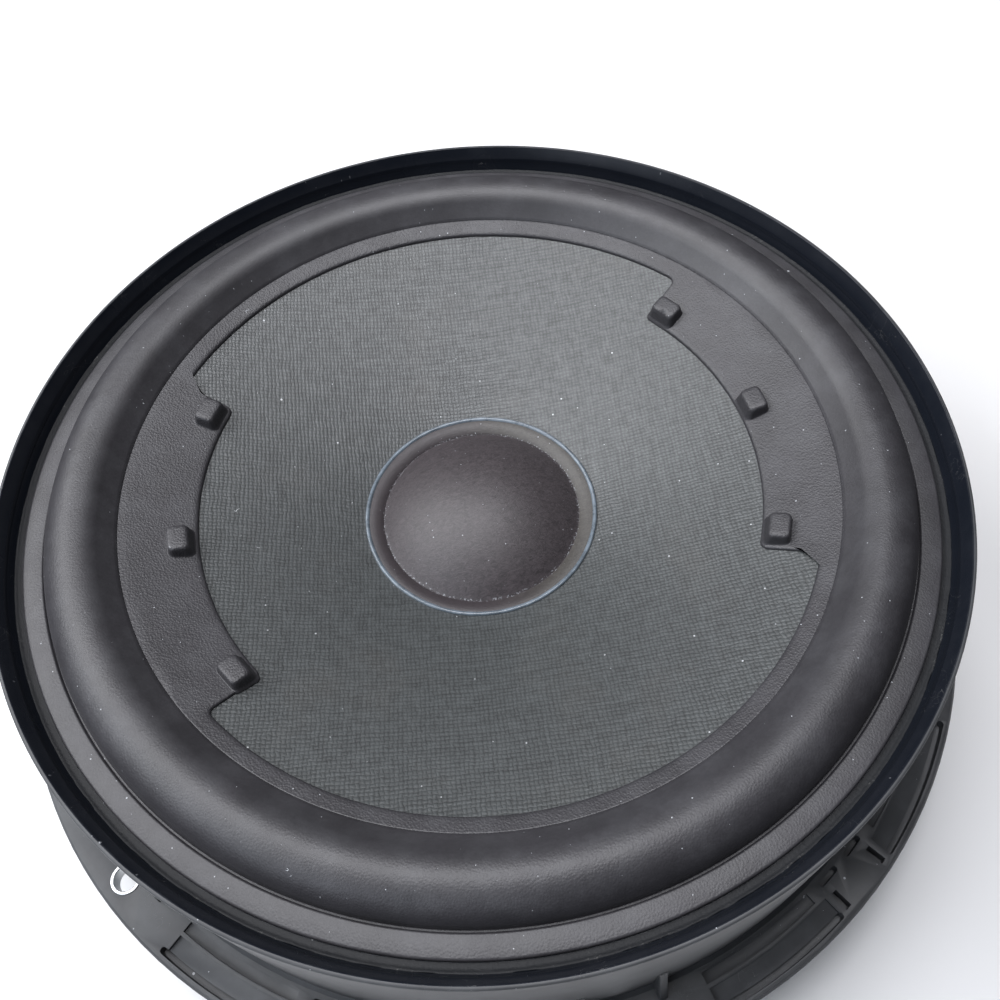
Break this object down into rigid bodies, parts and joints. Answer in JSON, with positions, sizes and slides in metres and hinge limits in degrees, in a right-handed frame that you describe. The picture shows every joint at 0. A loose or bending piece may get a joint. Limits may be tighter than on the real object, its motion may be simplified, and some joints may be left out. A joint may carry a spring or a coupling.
{
  "type": "car subwoofer driver",
  "caption": "Round car subwoofer driver: tall moulded collar, rubber roll surround with bumper lobes, woven cone, felt dust cap, ferrite motor and side plug socket.",
  "frame": {"origin": "centre of the bolt circle, in the plane of the flange's sealing face", "axes": "+Z along the cone's travel, out of the front; +X through the middle of one bumper lobe; the plug socket is on the -X side"},
  "size_m": [0.245, 0.245, 0.0845],
  "materials": {
    "basket_plastic": "fine matte, slightly satin",
    "surround_rubber": "satin with a fine leather-like grain",
    "cone_cloth": "stiff woven cloth, faint resin sheen",
    "cap_felt": "pressed felt-like paper",
    "foam": "closed-cell foam",
    "spider_cloth": "phenolic-impregnated cloth",
    "card": "pressed card",
    "zinc_steel": "turned and zinc plated",
    "ferrite": "ground ferrite",
    "black_steel": "black passivated",
    "copper": "bare copper",
    "contact_brass": "tinned brass",
    "tinsel": "braided copper over a cotton core",
    "former_film": "amber polyimide film",
    "wrap_paper": "kraft paper wrap with glue",
    "bead_glue": "cured blue-grey adhesive",
    "landing_glue": "dusty cured adhesive",
    "connector_plastic": "moulded nylon"
  },
  "bodies": {
    "basket_and_motor": {"collar": "basket_plastic", "landing": "basket_plastic", "flange": "basket_plastic", "gussets": "basket_plastic", "arms": "basket_plastic", "motor_seat": "basket_plastic", "mounting_gasket": "foam", "compression_sleeves": "zinc_steel", "surround": "surround_rubber", "surround_adhesive": "landing_glue", "spider": "spider_cloth", "spider_ring": "card", "top_plate": "zinc_steel", "motor_screws": "black_steel", "magnet": "ferrite", "t_yoke": "zinc_steel", "shorting_sleeve": "copper", "vent_screen": "black_steel", "rear_pad": "foam", "connector_housing": "connector_plastic", "contact_plus": "contact_brass", "contact_minus": "contact_brass", "tinsel_leads": "tinsel"},
    "cone_and_coil": {"cone": "cone_cloth", "bumper_ring": "surround_rubber", "dust_cap": "cap_felt", "cap_adhesive": "bead_glue", "neck_collar": "wrap_paper", "coil_former": "former_film", "coil_winding": "copper", "coil_leads": "copper", "lead_eyelets": "zinc_steel"}
  },
  "joints": [
    {"name": "cone_travel", "type": "slide", "parent": "basket_and_motor", "child": "cone_and_coil", "axis": [0, 0, 1], "range_m": [-0.008, 0.008], "stiffness_N_per_m": 2500, "deforming": ["surround", "spider", "tinsel_leads"]}
  ]
}
